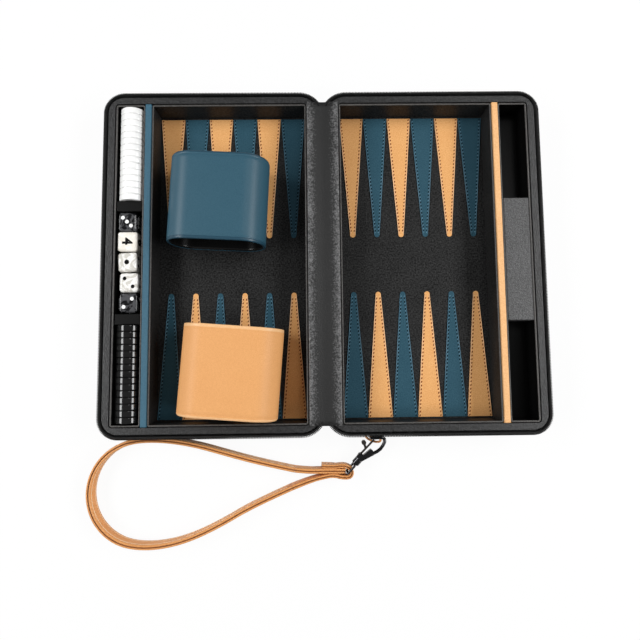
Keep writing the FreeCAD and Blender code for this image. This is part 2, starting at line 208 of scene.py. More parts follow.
# %% Leather grain: relief and tone
def build_grain_group():
    group, inside, outside = new_group("leather_grain", [("Cells", 900), ("Folds", 0.35)], ["Height", "Tone"])
    place = group.nodes.new("ShaderNodeTexCoord").outputs["Object"]
    cells = group.nodes.new("ShaderNodeTexVoronoi")
    cells.feature = "SMOOTH_F1"
    cells.inputs["Smoothness"].default_value = 0.35
    group.links.new(place, cells.inputs["Vector"])
    group.links.new(inside.outputs["Cells"], cells.inputs["Scale"])
    pebble = add_math(group, "SUBTRACT", 1.0, cells.outputs["Distance"])
    fold_scale = add_math(group, "MULTIPLY", inside.outputs["Cells"], 0.22)
    folds = add_math(group, "MULTIPLY", add_noise(group, place, fold_scale, 4, 0.6), inside.outputs["Folds"])
    height = add_math(group, "ADD", pebble, folds)
    group.links.new(height, outside.inputs["Height"])
    drift = add_math(group, "MULTIPLY", add_noise(group, place, 40, 3, 0.6), 0.15)
    speckle_scale = add_math(group, "MULTIPLY", inside.outputs["Cells"], 0.75)
    speckle = add_math(group, "MULTIPLY", add_noise(group, place, speckle_scale, 2, 0.6), 0.85)
    group.links.new(add_math(group, "ADD", drift, speckle), outside.inputs["Tone"])
    return group


grain_group = build_grain_group()


# %% Marbling: veins from a bent noise
def build_marble_group():
    group, inside, outside = new_group("marbling", [("Scale", 60), ("Bend", 2.0)], ["Veins"])
    place = group.nodes.new("ShaderNodeTexCoord").outputs["Object"]
    noise = group.nodes.new("ShaderNodeTexNoise")
    group.links.new(place, noise.inputs["Vector"])
    group.links.new(inside.outputs["Scale"], noise.inputs["Scale"])
    group.links.new(inside.outputs["Bend"], noise.inputs["Distortion"])
    noise.inputs["Detail"].default_value = 4
    ramp = group.nodes.new("ShaderNodeValToRGB")
    ramp.color_ramp.elements[0].position = 0.40
    ramp.color_ramp.elements[1].position = 0.60
    group.links.new(noise.outputs["Fac"], ramp.inputs["Fac"])
    group.links.new(ramp.outputs["Color"], outside.inputs["Veins"])
    return group


marble_group = build_marble_group()


# %% Twisted thread and woven tape: relief from three crossed waves
def build_weave_group():
    group, inside, outside = new_group("weave", [("Scale", 900)], ["Height"])
    place = group.nodes.new("ShaderNodeTexCoord").outputs["Object"]
    total = None
    for direction in ("X", "Y", "Z"):
        wave = group.nodes.new("ShaderNodeTexWave")
        wave.bands_direction = direction
        group.links.new(place, wave.inputs["Vector"])
        group.links.new(inside.outputs["Scale"], wave.inputs["Scale"])
        total = wave.outputs["Fac"] if total is None else add_math(group, "ADD", total, wave.outputs["Fac"])
    group.links.new(total, outside.inputs["Height"])
    return group


weave_group = build_weave_group()
print("shader groups", [group.name for group in bpy.data.node_groups])


# %% [markdown]
# ## Materials
# The case is black grained leather with a low sheen, its lining smoother and a little glossier. The
# points, rails and cups are smooth dyed leather in tan and navy. The dice and checkers are polished
# plastic, and the clasp is dark plated metal. Each kind has one function that builds its nodes.


# %% A material with its Principled shader at hand
def new_material(name, colour, roughness, metallic=0.0, specular=0.5, coat=0.0):
    material = bpy.data.materials.new(name + "_finish")
    finishes[name] = material
    material.use_nodes = True
    shader = material.node_tree.nodes["Principled BSDF"]
    shader.inputs["Base Color"].default_value = (*colour, 1)
    shader.inputs["Roughness"].default_value = roughness
    shader.inputs["Metallic"].default_value = metallic
    shader.inputs["Specular IOR Level"].default_value = specular
    shader.inputs["Coat Weight"].default_value = coat
    shader.inputs["Coat Roughness"].default_value = 0.12
    material.diffuse_color = (*colour, 1)
    return material.node_tree, shader


def place_group(tree, group, **values):
    node = tree.nodes.new("ShaderNodeGroup")
    node.node_tree = group
    for name, value in values.items():
        node.inputs[name].default_value = value
    return node


def bump_from(tree, shader, height, strength, distance):
    bump = tree.nodes.new("ShaderNodeBump")
    bump.inputs["Strength"].default_value = strength
    bump.inputs["Distance"].default_value = distance
    tree.links.new(height, bump.inputs["Height"])
    tree.links.new(bump.outputs["Normal"], shader.inputs["Normal"])


def blend_colours(tree, shader, factor, low, high):
    """Base colour between two tones, led by a value from 0 to 1."""
    ramp = tree.nodes.new("ShaderNodeValToRGB")
    ramp.color_ramp.elements[0].position = 0.36
    ramp.color_ramp.elements[1].position = 0.66
    ramp.color_ramp.elements[0].color = (*low, 1)
    ramp.color_ramp.elements[1].color = (*high, 1)
    tree.links.new(factor, ramp.inputs["Fac"])
    tree.links.new(ramp.outputs["Color"], shader.inputs["Base Color"])


# %% Leathers
grain_folds = 0.35      # how much the soft folds count beside the pebbles


def leather(name, low, high, roughness, cells, depth, strength=0.5, specular=0.4):
    """From a dark to a light tone. cells sets how fine the pebbles are, depth how high, in mm."""
    middle = [(a + b) / 2 for a, b in zip(low, high)]
    tree, shader = new_material(name, middle, roughness, specular=specular)
    grain = place_group(tree, grain_group, Cells=cells, Folds=grain_folds)
    blend_colours(tree, shader, grain.outputs["Tone"], low, high)
    bump_from(tree, shader, grain.outputs["Height"], strength, depth * mm)


# name, dark tone, light tone, roughness, cells, depth, strength of the bump, specular level
leather("black_leather", (0.010, 0.010, 0.010), (0.036, 0.036, 0.037), 0.42, 1000, 0.20, 1.0, 0.42)
leather("block_leather", (0.030, 0.030, 0.030), (0.090, 0.090, 0.092), 0.44, 1000, 0.20, 1.0, 0.42)
leather("field_leather", (0.001, 0.001, 0.001), (0.034, 0.034, 0.034), 0.50, 1000, 0.10, 0.8, 0.12)
leather("liner_leather", (0.002, 0.002, 0.002), (0.004, 0.004, 0.004), 0.32, 1500, 0.03, 0.4, 0.20)
# The binding: real bound edges, coloured lighter grey than the case as painted highlight along the liner
# tops.
leather("binding_leather_painted_highlight", (0.045, 0.043, 0.041), (0.095, 0.090, 0.085), 0.40, 1200, 0.05, 0.5)
leather("navy_leather", (0.018, 0.058, 0.086), (0.036, 0.094, 0.128), 0.50, 1700, 0.05, 0.6, 0.07)
leather("tan_leather", (0.640, 0.300, 0.102), (0.800, 0.445, 0.180), 0.50, 1700, 0.05, 0.6, 0.07)
leather("navy_rail_leather", (0.036, 0.105, 0.155), (0.052, 0.135, 0.195), 0.42, 1700, 0.04, 0.5, 0.3)
leather("tan_rail_leather", (0.720, 0.380, 0.155), (0.850, 0.500, 0.240), 0.42, 1700, 0.04, 0.5, 0.3)
leather("navy_edge", (0.060, 0.150, 0.210), (0.080, 0.180, 0.250), 0.40, 1700, 0.02, 0.3)
leather("tan_edge", (0.840, 0.500, 0.270), (0.900, 0.580, 0.330), 0.40, 1700, 0.02, 0.3)
leather("navy_cup_leather", (0.026, 0.082, 0.120), (0.036, 0.100, 0.142), 0.42, 1900, 0.02, 0.35, 0.3)
leather("tan_cup_leather", (0.690, 0.330, 0.118), (0.770, 0.390, 0.155), 0.46, 1900, 0.02, 0.35, 0.2)
leather("navy_edge_leather", (0.012, 0.050, 0.080), (0.020, 0.064, 0.098), 0.36, 1900, 0.02, 0.3)
leather("tan_edge_leather", (0.800, 0.450, 0.200), (0.860, 0.520, 0.260), 0.40, 1900, 0.02, 0.3)
leather("strap_leather", (0.600, 0.250, 0.080), (0.760, 0.370, 0.135), 0.38, 1600, 0.03, 0.4, 0.25)
leather("strap_core", (0.220, 0.070, 0.018), (0.300, 0.110, 0.032), 0.60, 1600, 0.03, 0.4)
leather("cup_lining", (0.003, 0.003, 0.003), (0.006, 0.006, 0.006), 0.24, 1500, 0.01, 0.2)


# %% The spine strip: the same grain, with painted light on its raised edges and painted shade along its fold line
def build_painted_fold_shade_group():
    """Painted shade: 1 away from the fold line, falling to Depth on it. Width is the half width of the
    painted dark band.
    """
    group, inside, outside = new_group("crease", [("Width", 5 * mm), ("Depth", 0.5)], ["Mask"])
    place = group.nodes.new("ShaderNodeTexCoord").outputs["Object"]
    split = group.nodes.new("ShaderNodeSeparateXYZ")
    group.links.new(place, split.inputs["Vector"])
    from_fold = add_math(group, "ABSOLUTE", split.outputs["X"], 0.0)
    away = add_math(group, "MINIMUM", add_math(group, "DIVIDE", from_fold, inside.outputs["Width"]), 1.0)
    kept = add_math(group, "SUBTRACT", 1.0, inside.outputs["Depth"])
    risen = add_math(group, "MULTIPLY", add_math(group, "POWER", away, 1.6), kept)
    group.links.new(add_math(group, "ADD", risen, inside.outputs["Depth"]), outside.inputs["Mask"])
    return group


painted_fold_shade_group = build_painted_fold_shade_group()
tree, shader = new_material("spine_leather", (0.06, 0.06, 0.06), 0.46)
grain = place_group(tree, grain_group, Cells=1000, Folds=grain_folds)
# Painted light and shade: the mask darkens the tone towards the fold line, and the light tone brightens the
# raised edges.
crease = place_group(tree, painted_fold_shade_group, Width=11 * mm, Depth=0.45)
tone_with_painted_shade = add_math(tree, "MULTIPLY", grain.outputs["Tone"], crease.outputs["Mask"])
blend_colours(tree, shader, tone_with_painted_shade, (0.012, 0.012, 0.012), (0.170, 0.170, 0.172))
bump_from(tree, shader, grain.outputs["Height"], 0.9, 0.18 * mm)


# %% Thread, tape, and the painted shade of a needle hole
def threadlike(name, colour, roughness=0.6, scale=1500, depth=0.05, specular=0.3):
    tree, shader = new_material(name, colour, roughness, specular=specular)
    weave = place_group(tree, weave_group, Scale=scale)
    bump_from(tree, shader, weave.outputs["Height"], 0.5, depth * mm)


threadlike("tan_thread", (0.84, 0.52, 0.25))
threadlike("navy_thread", (0.10, 0.22, 0.30))
threadlike("strap_thread", (0.90, 0.70, 0.46))
threadlike("zip_tape", (0.004, 0.004, 0.004), roughness=0.45, scale=1800, depth=0.08, specular=0.2)
# The needle holes: flat ovals whose dark colour is painted shade of the hole.
leather("tan_hole", (0.13, 0.026, 0.008), (0.18, 0.04, 0.014), 0.8, 1500, 0.01, 0.5, 0.05)
leather("navy_hole", (0.003, 0.008, 0.012), (0.006, 0.012, 0.016), 0.8, 1500, 0.01, 0.5, 0.05)


# %% Polished plastic: checkers, dice, pips
def polished(name, low, high, roughness, scale, bend=2.0, coat=0.0):
    tree, shader = new_material(name, low, roughness, coat=coat)
    veins = place_group(tree, marble_group, Scale=scale, Bend=bend)
    blend_colours(tree, shader, veins.outputs["Veins"], low, high)


# name, dark tone, light tone, roughness, scale of the veins
polished("white_checker", (0.90, 0.90, 0.89), (0.93, 0.93, 0.92), 0.20, 20, coat=0.3)
polished("black_checker", (0.003, 0.003, 0.003), (0.006, 0.006, 0.006), 0.09, 20, coat=0.3)
polished("black_marble_die", (0.004, 0.004, 0.005), (0.072, 0.073, 0.078), 0.06, 85, bend=3.5)
polished("pearl_die", (0.62, 0.60, 0.55), (0.88, 0.87, 0.84), 0.08, 75, bend=3.5)
polished("ivory_cube", (0.84, 0.80, 0.72), (0.92, 0.89, 0.83), 0.12, 60)
polished("white_pip", (0.85, 0.85, 0.84), (0.90, 0.90, 0.90), 0.40, 200)
polished("black_pip", (0.003, 0.003, 0.003), (0.006, 0.006, 0.006), 0.12, 200)


# %% Dark plated metal, with fine unevenness in its polish
def plated(name, colour, roughness):
    tree, shader = new_material(name, colour, roughness, metallic=1.0)
    veins = place_group(tree, marble_group, Scale=900, Bend=0.4)
    bump_from(tree, shader, veins.outputs["Veins"], 0.15, 0.02 * mm)


plated("gunmetal", (0.070, 0.070, 0.074), 0.12)
plated("gate_metal", (0.170, 0.150, 0.135), 0.14)
print("finishes", len(finishes))

# %% [markdown]
# ## Wrist strap
# The strap is two plies of leather glued back to back, 12 mm wide, standing on edge on the table in a
# long drop-shaped loop. Modelling it as one section swept along a smooth line keeps both plies parallel
# in every bend. The section has the groove between the plies that shows as a dark line from above.

# %% The route, the same points as in the solid model, y counted from the end of the case
strap_width = 12.0      # this and the other sizes of the strap are in mm
strap_thick = 3.9
case_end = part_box("right_shell")[0].y / mm
strap_points = [(-26, -32), (-52, -26.4), (-80, -18.8), (-108, -10.6), (-134, -6.4), (-158, -6.6),
                (-174.1, -12.5), (-185.4, -22.2), (-192.7, -35.5), (-194.8, -50.8), (-191.3, -65.9),
                (-182.7, -78.8), (-170.2, -87.8), (-155.3, -91.8), (-135.5, -91.7), (-113, -86.6),
                (-88, -75.6), (-60, -59.7), (-28, -46.3)]
strap_route = smooth_route([(x, case_end + y) for x, y in strap_points], strap_width / 2 * mm, 12)
print("strap route mm", round(route_length(strap_route) / mm, 1))


# %% The two-ply section
ply_corner = 0.8
ply_groove = [(0.55, 0.06), (0.32, 0.3), (0.10, 0.9)]      # half of it, as (across, depth)


def ply_section(low, thick):
    """Outline of both plies as (across, height): rounded edges, and a groove at top and bottom."""
    steps = 5
    centre = thick / 2 - ply_corner
    quarter = []
    for k in range(steps):
        angle = math.pi / 2 * k / (steps - 1)
        quarter.append((centre + ply_corner * math.cos(angle), ply_corner - ply_corner * math.sin(angle)))
    top = [(x, strap_width - drop) for x, drop in quarter + ply_groove]
    bottom = [(x, low + drop) for x, drop in quarter + ply_groove]
    right = bottom[::-1] + top
    left = [(-x, z) for x, z in right[::-1]]
    return [(x * mm, z * mm) for x, z in right + left]


def strap_ribbon(name, route, low_at, body, thick_at=lambda p: strap_thick):
    verts, faces = sweep(route, lambda i: ply_section(low_at(route[i]), thick_at(route[i])))
    ribbon = make_piece(name, verts, faces, ["strap_leather", "strap_core"], body)
    ring = len(ply_section(0, strap_thick))
    half_ring = ring // 2
    grooves = {0, 1, ring - 3, ring - 2, ring - 1, *range(half_ring - 3, half_ring + 2)}
    for face in list(ribbon.data.polygons)[:(len(route) - 1) * ring]:
        if face.index % ring in grooves:
            face.material_index = 1
    return ribbon


wrist_strap = strap_ribbon("wrist_strap_plies", strap_route, lambda p: 0.0, "strap")
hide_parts("wrist_strap")
print("strap faces", len(wrist_strap.data.polygons))

# %% [markdown]
# ## Strap end
# Both legs of the loop come together. The lower leg passes round the upright bar of the clasp and comes
# back as a tab, so four layers lie side by side there. Each is the same ribbon along its own short
# route, and the fold is cut narrower from below to pass the bow of the clasp.

# %% Upper leg, and the lower leg with its fold and tab
fold_lift = 2.8
fold_start_x = 9.0
fold_run = 5.0          # the lower edge rises over this much before the fold starts
sewn_thick = 3.2
sewn_start_x = -24
sewn_run = 18
upper_leg = [(-26, -32), (-14, -33.4), (-2, -33.1), (6, -33.3), (16.0, -33.4)]
lower_leg = [(-28, -46.3), (-14, -41), (-3, -38.2), (6, -36.6), (13, -38.6), (19.6, -38.6), (21.6, -34.6),
             (19.4, -30.4), (13.5, -28.8), (6, -30), (-3.8, -29.3)]


def lifted(place):
    """The lower edge rises towards the fold, to pass over the bow of the clasp."""
    reach = (place[0] / mm - fold_start_x) / fold_run + 1
    return fold_lift * min(1.0, max(0.0, reach))


def pressed(place):
    """The plies are pressed thinner where the legs are sewn together."""
    reach = min(1.0, max(0.0, (place[0] / mm - sewn_start_x) / sewn_run))
    return strap_thick + (sewn_thick - strap_thick) * reach


def leg_route(points, resolution):
    return smooth_route([(x, case_end + y) for x, y in points], strap_width / 2 * mm, resolution)


strap_end = strap_ribbon("strap_end_fold", leg_route(lower_leg, 10), lifted, "strap", pressed)
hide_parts("strap_end")
strap_inner = strap_ribbon("strap_end_inner_leg", leg_route(upper_leg, 8), lifted, "strap")
print("strap end faces", len(strap_end.data.polygons) + len(strap_inner.data.polygons))


# %% [markdown]
# ## Stitching
# A saddle stitch shows as short slanted threads with a needle hole between each pair, its shade painted as a
# flat dark oval. Both are small, so they are made once as plain rings of points and copied along a line, all
# in one mesh.


# %% Rows of stitches
thread_share = 0.22     # half of a thread's visible length over the pitch
thread_slant = 0.5      # how far its ends lean to the side, over its radius
thread_height = 0.7     # its height over its width
hole_share = 1.45       # radius of a needle hole over that of its thread
hole_stretch = 1.7
hole_slant = 0.45
hole_lift = 0.02 * mm


def stitch_row(store, start, end, pitch, thread, normal):
    """Adds threads and holes from start to end. normal points out of the leather."""
    run = end - start
    count = max(2, round(run.length / pitch))
    along = run.normalized()
    side = along.cross(normal).normalized()
    for k in range(count):
        middle = start + run * ((k + 0.5) / count)
        add_thread(store, middle, along, side, normal, pitch * thread_share, thread)
        hole = start + run * (k / count) + normal * hole_lift
        add_hole(store, hole, along, side, thread * hole_share)


def add_thread(store, middle, along, side, normal, half_length, radius):
    """A slightly flattened bead, as rings of (place along it, share of the radius)."""
    verts, faces, marks = store
    base = len(verts)
    rings = [(-1.0, 0.35), (-0.8, 0.8), (0.0, 1.0), (0.8, 0.8), (1.0, 0.35)]
    spokes = 6
    for where, size in rings:
        slant = side * (where * radius * thread_slant)
        for k in range(spokes):
            angle = 2 * math.pi * k / spokes
            offset = side * math.cos(angle) + normal * (math.sin(angle) * thread_height)
            verts.append(middle + along * (where * half_length) + slant + offset * (radius * size))
    for r in range(len(rings) - 1):
        for k in range(spokes):
            a = base + r * spokes + k
            b = base + r * spokes + (k + 1) % spokes
            faces.append((a, b, b + spokes, a + spokes))
            marks.append(0)
    for first in (base, base + (len(rings) - 1) * spokes):
        faces.append(tuple(first + k for k in range(spokes)))
        marks.append(0)


def add_hole(store, middle, along, side, radius):
    """A slanted flat oval where the awl went through, coloured dark as painted shade of the hole."""
    verts, faces, marks = store
    base = len(verts)
    spokes = 10
    slanted = (along + side * hole_slant).normalized()
    crosswise = (side - along * hole_slant).normalized()
    for k in range(spokes):
        angle = 2 * math.pi * k / spokes
        reach = math.cos(angle) * radius * hole_stretch
        verts.append(middle + slanted * reach + crosswise * (math.sin(angle) * radius))
    faces.append(tuple(base + k for k in range(spokes)))
    marks.append(1)


def stitch_piece(name, store, thread_material, hole_material, body):
    verts, faces, marks = store
    piece = make_piece(name, verts, faces, [thread_material, hole_material], body)
    for face, mark in zip(piece.data.polygons, marks):
        face.material_index = mark
    return piece


# %% Stitches along both faces of the strap, near its top and bottom edges
def strap_stitches():
    store = ([], [], [])
    pitch = 4.2 * mm
    inset = 2.4 * mm
    thread = 0.3 * mm
    travelled = 0.0
    for a, b in zip(strap_route, strap_route[1:]):
        travelled += (b - a).length
        if travelled < pitch:
            continue
        travelled = 0.0
        along = (b - a).normalized()
        across = Vector((-along.y, along.x, 0))
        for face in (1, -1):
            for height in (inset, strap_width * mm - inset):
                place = Vector((a.x, a.y, height)) + across * (face * strap_thick / 2 * mm)
                stitch_row(store, place - along * pitch / 2, place + along * pitch / 2, pitch * 2,
                           thread, across * face)
    return stitch_piece("wrist_strap_stitches", store, "strap_thread", "tan_hole", "strap")


print("strap stitch faces", len(strap_stitches().data.polygons))

# %% [markdown]
# ## Points
# Twelve long leather triangles lie on each floor, tan and navy by turns, each sewn down along both long
# edges. The solids give their outline and keep it. The stitching runs just inside both long edges from
# the base to the tip, and a fine burnished bead marks the cut edge itself.

# %% Where the points lie
liner_wall = 1.5 * mm
points_per_row = 6
point_tip_width = 4.5 * mm
stitch_inset = 1.7 * mm
point_stitch_pitch = 3.1 * mm
point_thread = 0.36 * mm
field_low, field_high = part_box("right_field_tray")
field_start = field_low.x + liner_wall
field_end = field_high.x - liner_wall
point_pitch = (field_end - field_start) / points_per_row
point_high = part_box("right_points_tan")[1]
point_base_y = point_high.y
point_tip_y = 23.9 * mm
point_top = point_high.z
print("point pitch mm", round(point_pitch / mm, 2), "base y mm", round(point_base_y / mm, 1))


# %% The long edges of every point of one colour on one half
def point_runs(half, colour, base_inset, base_back, tip_inset, tip_back):
    """Start and end, as (x, y), of the line that runs this far inside both long edges."""
    first = field_start + point_pitch / 2 if half > 0 else -field_end + point_pitch / 2
    for side in (1, -1):
        for index in range(points_per_row):
            if (colour == "tan") != ((index % 2 == 0) == (side > 0)):
                continue
            x = first + index * point_pitch
            for edge in (1, -1):
                yield ((x + edge * (point_pitch / 2 - base_inset), side * (point_base_y - base_back)),
                       (x + edge * (point_tip_width / 2 - tip_inset), side * (point_tip_y + tip_back)))


# %% Stitches on the points
def point_stitches(half, colour, body):
    store = ([], [], [])
    for base, tip in point_runs(half, colour, base_inset=stitch_inset, base_back=1.2 * mm,
                                tip_inset=1.1 * mm, tip_back=2.6 * mm):
        stitch_row(store, Vector((*base, point_top)), Vector((*tip, point_top)),
                   point_stitch_pitch, point_thread, Vector((0, 0, 1)))
    name = ("right" if half > 0 else "left") + f"_points_{colour}_stitches"
    return stitch_piece(name, store, f"{colour}_thread", f"{colour}_hole", body)


for half, body in ((1, "right_half"), (-1, "left_half")):
    for colour in ("tan", "navy"):
        print(point_stitches(half, colour, body).name)


# %% A light line along the cut edge of every point
def point_edges(half, colour, body):
    """A fine burnished bead just inside the cut edge, from base to tip on both sides."""
    verts, faces = [], []
    foot = 0.3 * mm
    crown = 0.22 * mm
    bottom = point_top - 0.2 * mm
    top = point_top + 0.1 * mm
    bead = [(-foot, bottom), (-crown, top), (crown, top), (foot, bottom)]
    for base, tip in point_runs(half, colour, base_inset=0.45 * mm, base_back=0.1 * mm,
                                tip_inset=0.25 * mm, tip_back=2.2 * mm):
        part_verts, part_faces = sweep([base, tip], lambda i: bead)
        faces.extend(tuple(k + len(verts) for k in face) for face in part_faces)
        verts.extend(part_verts)
    name = ("right" if half > 0 else "left") + f"_points_{colour}_edges"
    return make_piece(name, verts, faces, [f"{colour}_edge"], body)


for half, body in ((1, "right_half"), (-1, "left_half")):
    for colour in ("tan", "navy"):
        print(point_edges(half, colour, body).name)

# %% [markdown]
# ## Case, trays and rails
# The walls, floors and rails are right as solids. They keep their shape and get their leather, and the
# shells, rails and bridge block a narrow bevel so that their folded edges catch a line of light. The pieces
# come with split corners, so a weld joins them first and the bevel then finds whole edges.


# %% Finishes for the CAD nodes that keep their shape
def dress(node_name, material_name, bevel=0.0):
    """Gives a node its finish and, where bevel is set, in mm, a soft edge."""
    node = nodes[node_name]
    node.data.materials.clear()
    node.data.materials.append(finishes[material_name])
    if bevel:
        weld = node.modifiers.new("joined_corners", "WELD")
        weld.merge_threshold = 0.01 * mm
        rounding = node.modifiers.new("soft_edge", "BEVEL")
        rounding.width = bevel * mm
        rounding.segments = 3
        rounding.limit_method = "ANGLE"
        rounding.angle_limit = math.radians(40)
        rounding.harden_normals = True


for side in ("left", "right"):
    dress(side + "_shell", "black_leather", 0.5)
    dress(side + "_field_tray", "field_leather")
    dress(side + "_storage_tray", "liner_leather")
    dress(side + "_points_tan", "tan_leather")
    dress(side + "_points_navy", "navy_leather")
dress("left_rail", "navy_rail_leather", 0.4)
dress("right_rail", "tan_rail_leather", 0.4)
dress("bridge_block", "block_leather", 0.4)
dress("zip_slider", "gunmetal")
dress("zip_pull", "strap_leather")
dress("clasp_eye", "gunmetal")
dress("clasp_hook", "gunmetal", 0.25)
dress("clasp_trigger", "gate_metal", 0.2)
dress("doubling_cube", "ivory_cube")
for index in (1, 2):
    dress(f"black_die_{index}", "black_marble_die")
    dress(f"pearl_die_{index}", "pearl_die")
print("nodes with a soft edge", sum(bool(node.modifiers) for node in nodes.values()))


# %% Bound edges on top of the liners, their lighter grey partly painted highlight
def rounded_loop(x0, x1, y0, y1, radius, steps=6):
    """Points of a rectangle with rounded corners, once round."""
    loop = []
    for cx, cy, start in ((x1, y1, 0), (x0, y1, 90), (x0, y0, 180), (x1, y0, 270)):
        inward_x = cx - radius if cx == x1 else cx + radius
        inward_y = cy - radius if cy == y1 else cy + radius
        for k in range(steps + 1):
            angle = math.radians(start + 90 * k / steps)
            loop.append((inward_x + radius * math.cos(angle), inward_y + radius * math.sin(angle)))
    return loop


def liner_binding(tray_name, body):
    """A rounded bead on the tray's walls, a hair narrower than they are. Its lighter grey colour is partly
    painted highlight.
    """
    low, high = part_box(tray_name)
    half = liner_wall / 2
    loop = rounded_loop(low.x + half, high.x - half, low.y + half, high.y - half, 1.2 * mm)
    half_width = half * 0.98
    rise = 0.45 * mm
    tuck = 0.3 * mm
    steps = 8
    bead = []
    for k in range(steps + 1):
        angle = math.pi * k / steps
        bead.append((-math.cos(angle) * half_width, high.z + math.sin(angle) * rise))
    bead += [(half_width, high.z - tuck), (-half_width, high.z - tuck)]
    verts, faces = sweep(loop, lambda i: bead, closed=True)
    return make_piece(tray_name + "_binding", verts, faces, ["binding_leather_painted_highlight"], body)


for side in ("left", "right"):
    for tray in ("_field_tray", "_storage_tray"):
        print(liner_binding(side + tray, side + "_half").name)

# %% [markdown]
# ## Zip
# Each half carries a zip tape that stands up around its wall and stops under the spine strip. The tape
# flares a little outwards when the zip is open, and the coil along its outer face shows as a fine
# serrated edge. Tape and coil are swept along the same rounded outline.

# %% Outline of the tape, from the fold round to the fold again
shell_low, shell_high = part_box("right_shell")
fold_corner = 17 * mm
outer_corner = 13 * mm
tuck_angle = 64     # the tape ends this far round the corner at the fold, under the strip
zip_low = 19.6 * mm
zip_high = 26.9 * mm
tape_gap = 0.35 * mm
coil_gap = 2.3 * mm
coil_pitch = 1.25 * mm


def zip_path(offset):
    """Corner by corner, with straight runs between, this far out from the wall."""
    path = []
    corners = ((shell_low.x + fold_corner, shell_high.y - fold_corner, fold_corner, 90 + tuck_angle, 90),
               (shell_high.x - outer_corner, shell_high.y - outer_corner, outer_corner, 90, 0),
               (shell_high.x - outer_corner, shell_low.y + outer_corner, outer_corner, 0, -90),
               (shell_low.x + fold_corner, shell_low.y + fold_corner, fold_corner, -90, -90 - tuck_angle))
    for cx, cy, radius, start, end in corners:
        steps = 14
        for k in range(steps + 1):
            angle = math.radians(start + (end - start) * k / steps)
            path.append((cx + (radius + offset) * math.cos(angle), cy + (radius + offset) * math.sin(angle)))
    return path


def even_steps(path, step):
    """Places and directions at even distances along a path."""
    found = []
    left_over = 0.0
    for a, b in zip(path, path[1:]):
        run = Vector((b[0] - a[0], b[1] - a[1], 0))
        along = run.normalized()
        travelled = left_over
        while travelled < run.length:
            found.append((Vector((a[0], a[1], 0)) + along * travelled, along))
            travelled += step
        left_over = travelled - run.length
    return found


# %% Tape and coil, both halves
def add_coil(verts, faces):
    """One turn of the coil at each step: a small block with this outline, (outward, height, half width)."""
    turn = [(0, 23.3, 0.36), (1.0, 23.5, 0.42), (1.75, 24.5, 0.40), (1.55, 25.6, 0.34), (0.4, 26.2, 0.30),
            (-0.3, 26.0, 0.30)]
    count = len(turn)
    for place, along in even_steps(zip_path(coil_gap), coil_pitch):
        outward = Vector((-along.y, along.x, 0))
        base = len(verts)
        for reach, height, half_width in turn:
            for end in (-1, 1):
                verts.append(place + outward * (reach * mm) + along * (end * half_width * mm)
                             + Vector((0, 0, height * mm)))
        for k in range(count):
            j = (k + 1) % count
            faces.append((base + 2 * k, base + 2 * j, base + 2 * j + 1, base + 2 * k + 1))
        faces.append(tuple(base + 2 * k for k in range(count)))
        faces.append(tuple(base + 2 * k + 1 for k in range(count)))


def build_zip(side, body):
    tape = [(0, zip_low), (0.9 * mm, zip_low), (1.5 * mm, 22.5 * mm), (2.2 * mm, zip_high - 0.4 * mm),
            (1.9 * mm, zip_high), (0.9 * mm, zip_high), (0.3 * mm, zip_high - 1.2 * mm)]
    verts, faces = sweep(zip_path(tape_gap), lambda i: tape)
    add_coil(verts, faces)
    sign = 1 if side == "right" else -1
    verts = [Vector((v.x * sign, v.y, v.z)) for v in verts]
    zip_piece = make_piece(side + "_zip_tape_and_coil", verts, faces, ["zip_tape"], body,
                           smooth=False)
    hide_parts(side + "_zip")
    return zip_piece


for side in ("left", "right"):
    print(side, "zip faces", len(build_zip(side, side + "_half").data.polygons))

# %% [markdown]
# ## Checkers
# Fifteen of each colour stand on edge in their channel. A checker is one profile turned round its axis:
# a round rim, a raised ring, and a shallow dished middle, the same on both faces.


# %% Turn one profile round the checker's axis
def checker_mesh(low, high):
    """One face's profile, as shares of the radius and of half the thickness, mirrored and turned."""
    centre = (low + high) / 2
    radius = (high.x - low.x) / 2
    half = (high.y - low.y) / 2
    shape = [(0.0, 0.62), (0.30, 0.64), (0.52, 0.74), (0.60, 0.92), (0.66, 0.98), (0.74, 1.0), (0.90, 1.0),
             (0.955, 0.98), (0.985, 0.90), (0.998, 0.76), (1.0, 0.60), (1.0, 0.20)]
    near_face = [(r * radius, -t * half) for r, t in shape[1:]]
    profile = near_face + [(r, -y) for r, y in near_face[::-1]]
    spokes = 56
    verts = []
    for k in range(spokes):
        angle = 2 * math.pi * k / spokes
        for r, y in profile:
            verts.append(centre + Vector((r * math.cos(angle), y, r * math.sin(angle))))
    rows = len(profile)
    faces = []
    for k in range(spokes):
        j = (k + 1) % spokes
        for row in range(rows - 1):
            faces.append((k * rows + row, k * rows + row + 1, j * rows + row + 1, j * rows + row))
    for row, depth in ((0, -shape[0][1]), (rows - 1, shape[0][1])):
        verts.append(centre + Vector((0, depth * half, 0)))
        hub = len(verts) - 1
        faces.extend((hub, k * rows + row, ((k + 1) % spokes) * rows + row) for k in range(spokes))
    return verts, faces


for colour in ("white", "black"):
    for index in range(1, 16):
        node_name = f"{colour}_checker_{index:02d}"
        verts, faces = checker_mesh(*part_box(node_name))
        piece = make_piece(node_name + "_turned", verts, faces, [colour + "_checker"], node_name + "_body")
        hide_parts(node_name)
    print(colour, "checkers turned, faces in each", len(piece.data.polygons))

# %% [markdown]
# ## Dice
# The dice keep their solids. Their pips are shallow drops of paint, laid on every face so that opposite
# faces add up to seven. The doubling cube has its six numbers in a plain sans letter, four on top.

